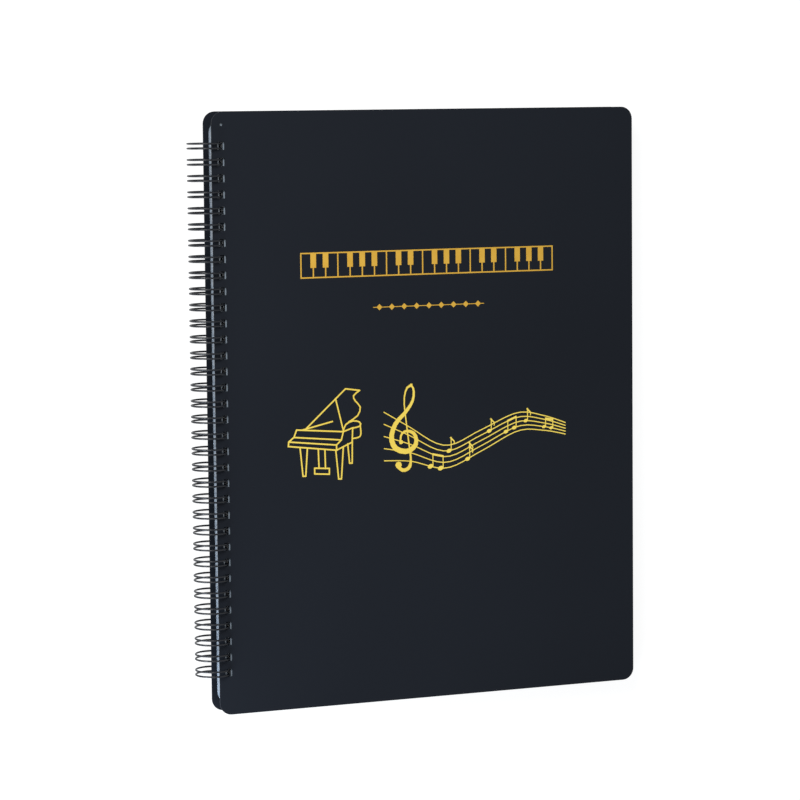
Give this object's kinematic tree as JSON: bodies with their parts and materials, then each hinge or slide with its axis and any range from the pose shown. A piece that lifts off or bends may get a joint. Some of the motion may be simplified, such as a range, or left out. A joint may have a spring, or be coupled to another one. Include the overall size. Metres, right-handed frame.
{
  "type": "music folder",
  "caption": "Black A4 music folder with plastic covers, gold prints, clear sleeves and a twin-loop wire binding, lying on its back cover.",
  "frame": {"origin": "under the middle of the folder's outline, on the surface it lies on, level with the lowest point of the wire", "axes": "+X from the spine to the opening edge, +Y along the spine to the folder's top edge, +Z out of the front cover"},
  "size_m": [0.256, 0.32, 0.0195],
  "materials": {
    "cover_plastic": "matte polypropylene with a fine grain",
    "black_wire": "black coated steel wire",
    "sleeve_film": "clear glossy film",
    "gold_foil": "hot-stamped gold foil",
    "gold_ink": "flat gold print"
  },
  "bodies": {
    "binding": {"binding_wire": "black_wire", "sleeves": "sleeve_film"},
    "front": {"front_cover": "cover_plastic", "keyboard_print": "gold_ink", "rule_print": "gold_ink", "piano_print": "gold_foil", "staff_print": "gold_foil"},
    "back": {"back_cover": "cover_plastic"}
  },
  "joints": [
    {"name": "front_cover_swing", "type": "hinge", "parent": "binding", "child": "front", "pos_m": [-0.11827, 0, 0.00975], "axis": [0, -1, 0], "range_deg": [0, 180]},
    {"name": "back_cover_swing", "type": "hinge", "parent": "binding", "child": "back", "pos_m": [-0.11827, 0, 0.00975], "axis": [0, 1, 0], "range_deg": [0, 180]}
  ]
}
